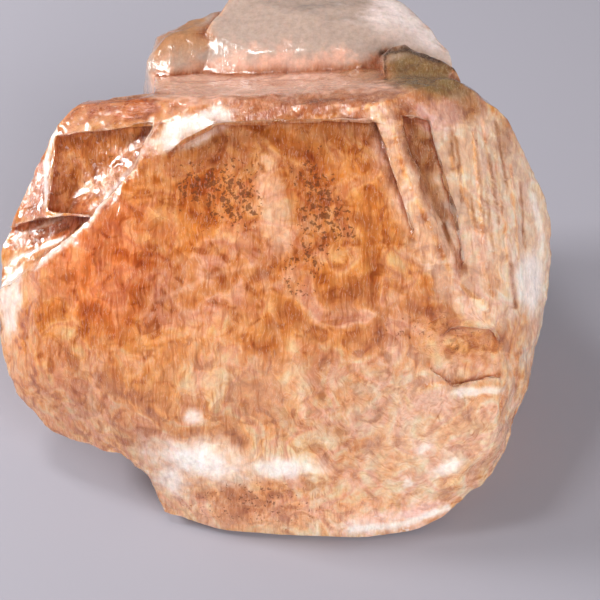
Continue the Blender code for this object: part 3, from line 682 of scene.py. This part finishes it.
@dataclass
class StoneSkin:
    """The stone's broken skin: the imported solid's own breaks, divided finely and worked over.

    Widths and depths are in millimetres.
    """

    node: bpy.types.Object
    finish: Feldspar = field(default_factory=Feldspar)
    merge: float = 1e-7                          # in metres
    join_angle: float = math.radians(12.0)
    join_shape: float = math.radians(60.0)
    crease_angle: float = math.radians(16.0)
    crease_rise: tuple[float, float] = (0.7, 3.0)        # where an edge starts and ends to be kept sharp,
    ridge_rise: tuple[float, float] = (1.25, 3.5)        # and to count as a ridge, in crease angles
    crease: float = 0.85
    sharp_angle: float = math.radians(30.0)
    levels: int = 2
    wander: tuple[tuple[float, float], ...] = ((0.4, 0.8), (0.3, 2.1), (0.2, 4.3))   # strength, waves to a mm
    side_facing: tuple[float, float] = (0.1, 0.6)        # a skin that faces less forward than this is a side
    lump_behind: tuple[float, float] = (4.5, 6.0)        # the back lump lies this far behind the broad break
    lump_above: tuple[float, float] = (7.0, 9.5)         # and this far up it,
    lump_crest: tuple[float, float] = (10.9, 11.6)       # and is all there is above the crest
    front_facing: tuple[float, float] = (-0.1, 0.2)
    front_depth: tuple[float, float] = (-7.0, -5.5)
    lump_depth: tuple[float, float] = (-6.5, -5.0)
    # how far painted shade darkens the nooks
    nook_shade_share: float = 0.7
    # how far the ridges are paled by bruising and painted highlight
    bruise_highlight_share: float = 0.8
    shell_reach: tuple[float, float] = (1.6, 8.8)        # the shell-shaped break's inner and outer edge
    foot: float = 0.8                            # the skin is left alone this close to the ground
    ripple: float = 0.8                          # from one arc of the shell-shaped break to the next
    break_width: float = 0.9                     # of the small slanting breaks
    break_depth: float = 0.14
    hackle_depth: float = 0.12
    arc_depth: float = 0.07
    furrow_depth: float = 0.05
    chip_depth: float = 0.12

    def build(self) -> bpy.types.Object:
        """Build the dressed stone.

        Returns:
            The stone's object, at the origin.
        """
        mesh = self.finer_mesh()
        self.work(mesh)
        stone = bpy.data.objects.new("broken_stone", mesh)
        bpy.context.collection.objects.link(stone)
        mesh.materials.clear()
        mesh.materials.append(self.finish.build())
        mesh.shade_smooth()
        mesh.set_sharp_from_angle(angle=self.sharp_angle)
        return stone

    def finer_mesh(self) -> bpy.types.Mesh:
        """Divide a merged copy of the solid, keeping its sharp edges and noting which stand out.

        Returns:
            The finer mesh, with its ridges and nooks as attributes.
        """
        bm = bmesh.new()
        bm.from_mesh(self.node.data)
        bmesh.ops.remove_doubles(bm, verts=bm.verts, dist=self.merge)
        bmesh.ops.join_triangles(bm, faces=bm.faces, angle_face_threshold=self.join_angle,
                                 angle_shape_threshold=self.join_shape)
        crease = bm.edges.layers.float.new("crease_edge")
        ridge = bm.verts.layers.float.new("ridge")
        nook = bm.verts.layers.float.new("nook")
        kept, standing = ([part * self.crease_angle for part in rise]
                          for rise in (self.crease_rise, self.ridge_rise))
        for edge in bm.edges:
            angle = edge.calc_face_angle(0.0)
            edge[crease] = self.crease * fade(angle, *kept)
            layer = ridge if edge.is_convex else nook
            for vert in edge.verts:
                vert[layer] = max(vert[layer], fade(angle, *standing))
        rough = bpy.data.meshes.new("stone_rough")
        bm.to_mesh(rough)
        bm.free()
        blank = bpy.data.objects.new("stone_rough", rough)
        bpy.context.collection.objects.link(blank)
        finer = blank.modifiers.new("finer", "SUBSURF")
        finer.levels = self.levels
        finer.render_levels = self.levels
        depsgraph = bpy.context.evaluated_depsgraph_get()
        mesh = bpy.data.meshes.new_from_object(blank.evaluated_get(depsgraph))
        bpy.data.objects.remove(blank)
        mesh.name = "broken_stone"
        return mesh

    def work(self, mesh: bpy.types.Mesh) -> None:
        """Carve the fine relief and paint the looks.

        Args:
            mesh: The finer mesh.
        """
        turn = Matrix.Rotation(-TIP, 3, "X")
        colours = {"tint": [], "kind": [], "marks": []}
        ridges = [item.value for item in mesh.attributes["ridge"].data]
        nooks = [item.value for item in mesh.attributes["nook"].data]
        places = []
        for index, vert in enumerate(mesh.vertices):
            spot = turn @ ((vert.co - BREAK_MIDDLE) / MM)
            facing = turn @ vert.normal
            look = self.look(spot, facing, ridges[index], nooks[index])
            shell = self.shell_share(spot, facing)
            colours["tint"].extend(look.colour)
            colours["kind"].extend((look.clarity, look.grain, shell, 1.0))
            colours["marks"].extend((look.specks, look.glitter, look.haze, look.layers))
            depth = self.depth(spot, look, shell, ridges[index]) * fade(vert.co.z / MM, 0.0, self.foot)
            places.append(vert.co - vert.normal * depth * MM)
        for vert, place in zip(mesh.vertices, places):
            vert.co = place
        for name, values in colours.items():
            mesh.color_attributes.new(name, "FLOAT_COLOR", "POINT").data.foreach_set("color", values)
        mesh.update()

    def shell_share(self, spot: Vector, facing: Vector) -> float:
        """Tell how far a spot lies on the shell-shaped break.

        Args:
            spot: The place in the broad break's frame.
            facing: The skin's normal in that frame.

        Returns:
            The share between 0 and 1.
        """
        near, far = self.shell_reach
        radius = (spot.xy - SHELL_MIDDLE).length
        share = fade(radius, near, near + 1.0) * (1.0 - fade(radius, far - 2.0, far))
        return share * fade(SHELL_MIDDLE.y - spot.y, -0.5, 2.0) * fade(facing.z, 0.2, 0.5)

    def look(self, spot: Vector, facing: Vector, ridge: float, nook: float) -> Look:
        """Give the look at a spot.

        Args:
            spot: The place in the broad break's frame.
            facing: The skin's normal in that frame.
            ridge: How near a standing edge is.
            nook: How near the foot of a step is.

        Returns:
            The look.
        """
        wander = sum(strength * noise.noise(spot * waves) for strength, waves in self.wander)
        look = BODY.towards(SIDES, 1.0 - fade(facing.z + 0.5 * wander, *self.side_facing))
        behind = fade(-spot.z + wander, *self.lump_behind) * fade(spot.y + wander, *self.lump_above)
        look = look.towards(KNOB, max(behind, fade(spot.y + 0.5 * wander, *self.lump_crest)))
        front = fade(facing.z, *self.front_facing) * fade(spot.z, *self.front_depth)
        sides = {Side.FRONT: front, Side.KNOB: 1.0 - fade(spot.z, *self.lump_depth), Side.ANY: 1.0}
        for zone in ZONES:
            share = sides[zone.side]
            if share > 0.0:
                share *= max(mark.weight(spot, wander) for mark in zone.marks)
            if share > 0.0:
                look = look.towards(zone.look, share)
        # painted shade darkens the foot of each step
        look = look.towards(PAINTED_NOOK_SHADE, self.nook_shade_share * nook ** 2)
        # paler along standing edges: bruising and painted highlight
        bruise_highlight = self.bruise_highlight_share * ridge ** 3 * fade(0.2 + noise.noise(spot * 1.7), 0.0, 0.5)
        return look.towards(BRUISE_AND_HIGHLIGHT, bruise_highlight)

    def depth(self, spot: Vector, look: Look, shell: float, ridge: float) -> float:
        """Give how deep the skin is carved at a spot.

        Args:
            spot: The place in the broad break's frame.
            look: The look there.
            shell: How far the spot lies on the shell-shaped break.
            ridge: How near a standing edge is.

        Returns:
            The depth in millimetres, never negative.
        """
        middle = noise.voronoi(spot / self.break_width)[1][0]
        tilt = noise.cell_vector(middle * 7.3).dot(spot / self.break_width - middle)
        breaks = self.break_depth * look.grain * min(max(0.5 + 0.8 * tilt, 0.0), 1.0)
        hackle = self.hackle_depth * look.grain * abs(noise.noise(spot * 2.3))
        radius = (spot.xy - SHELL_MIDDLE).length + 0.6 * noise.noise(spot * 0.5)
        patchy = fade(noise.noise(spot * 0.55 + Vector((9.0, 0.0, 0.0))), -0.4, 0.3)
        arcs = self.arc_depth * shell * patchy * abs(math.sin(math.pi * radius / self.ripple))
        furrows = self.furrow_depth * (0.5 + 0.5 * noise.noise(Vector((spot.x * 2.0, spot.y * 0.3, spot.z))))
        chips = self.chip_depth * ridge * fade(noise.noise(spot * 1.1), -0.2, 0.5)
        return breaks + hackle + arcs + furrows + chips


@dataclass(frozen=True)
class Lamp:
    """A square soft light aimed at the stone, its place and size in millimetres and its power in watts."""

    name: str
    place: tuple[float, float, float]
    size: float
    power: float

    def build(self) -> None:
        """Hang the lamp."""
        data = bpy.data.lights.new(self.name, "AREA")
        data.size = self.size * MM
        data.energy = self.power
        thing = bpy.data.objects.new(self.name, data)
        bpy.context.collection.objects.link(thing)
        thing.location = Vector(self.place) * MM
        thing.rotation_euler = (thing.location - BREAK_MIDDLE).to_track_quat("Z", "Y").to_euler()
        thing.visible_transmission = False


@dataclass(frozen=True)
class Studio:
    """The floor, the light and the camera."""

    distance: float = 85.0 * MM
    view_width: float = 27.9 * MM
    sensor: float = 36.0
    lamps: tuple[Lamp, ...] = (Lamp("key", (-130.0, 24.0, 74.0), 36.0, 0.21),
                               Lamp("top", (-56.0, 18.0, 142.0), 30.0, 0.07))
    window: tuple[float, float, float] = (80.0, -146.0, 57.0)
    window_spread: float = math.radians(50.0)
    window_strength: float = 3.85
    room_hex: str = "#F4F0EC"
    room_strength: float = 0.22
    room_seen: float = 0.42                      # the room as the camera sees it behind the floor's edge
    floor_size: float = 1.2
    floor_drop: float = 0.02 * MM
    floor_hex: str = "#A3A0AA"
    floor_roughness: float = 0.8

    def build(self) -> None:
        """Build the floor, the lights, the room and the camera."""
        self.floor()
        for lamp in self.lamps:
            lamp.build()
        self.window_light()
        self.room()
        self.camera()
        bpy.context.scene.view_settings.view_transform = "Standard"

    def room(self) -> None:
        """Fill the room with a weak even light."""
        world = bpy.data.worlds.new("room")
        bpy.context.scene.world = world
        world.use_nodes = True
        tree = world.node_tree
        tree.nodes["Background"].inputs["Color"].default_value = linear(self.room_hex)
        path = add_node(tree, "ShaderNodeLightPath")
        seen = add_node(tree, "ShaderNodeMapRange", {3: self.room_strength, 4: self.room_seen},
                        {0: path.outputs["Is Camera Ray"]})
        tree.links.new(seen.outputs[0], tree.nodes["Background"].inputs["Strength"])

    def floor(self) -> None:
        """Lay the floor."""
        bm = bmesh.new()
        bmesh.ops.create_grid(bm, x_segments=1, y_segments=1, size=self.floor_size,
                              matrix=Matrix.Translation((0.0, 0.0, -self.floor_drop)))
        mesh = bpy.data.meshes.new("floor")
        bm.to_mesh(mesh)
        bm.free()
        floor = bpy.data.objects.new("floor", mesh)
        bpy.context.collection.objects.link(floor)
        # Uncoated grey-white card: an even, dull ground that leaves the stone's own colours alone.
        material = bpy.data.materials.new("uncoated_card")
        material.use_nodes = True
        shader = material.node_tree.nodes["Principled BSDF"]
        shader.inputs["Base Color"].default_value = linear(self.floor_hex)
        shader.inputs["Roughness"].default_value = self.floor_roughness
        mesh.materials.append(material)

    def window_light(self) -> None:
        """Add the even light of a wide window, which the stone's gloss doesn't show."""
        data = bpy.data.lights.new("window", "SUN")
        data.angle = self.window_spread
        data.energy = self.window_strength
        thing = bpy.data.objects.new("window", data)
        bpy.context.collection.objects.link(thing)
        thing.location = Vector(self.window) * MM
        thing.rotation_euler = Vector(self.window).to_track_quat("Z", "Y").to_euler()
        thing.visible_glossy = False

    def camera(self) -> None:
        """Stand the camera straight before the broad break."""
        camera = bpy.data.cameras.new("camera")
        camera.sensor_width = self.sensor
        camera.lens = self.sensor * self.distance / self.view_width
        camera.clip_start = MM
        thing = bpy.data.objects.new("camera", camera)
        bpy.context.collection.objects.link(thing)
        rise = math.pi / 2.0 - TIP
        back = Vector((0.0, -math.cos(rise), math.sin(rise)))
        thing.location = BREAK_MIDDLE + back * self.distance
        thing.rotation_euler = back.to_track_quat("Z", "Y").to_euler()
        bpy.context.scene.camera = thing


def main() -> None:
    """Dress the stone and set the scene."""
    logging.basicConfig(level=logging.INFO)
    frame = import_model()
    stone = StoneSkin(frame["nodes"]["sunstone"]).build()
    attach(stone, "root")
    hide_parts("sunstone")
    LOG.info("stone: %d faces", len(stone.data.polygons))
    Studio().build()


if __name__ == "__main__":
    main()
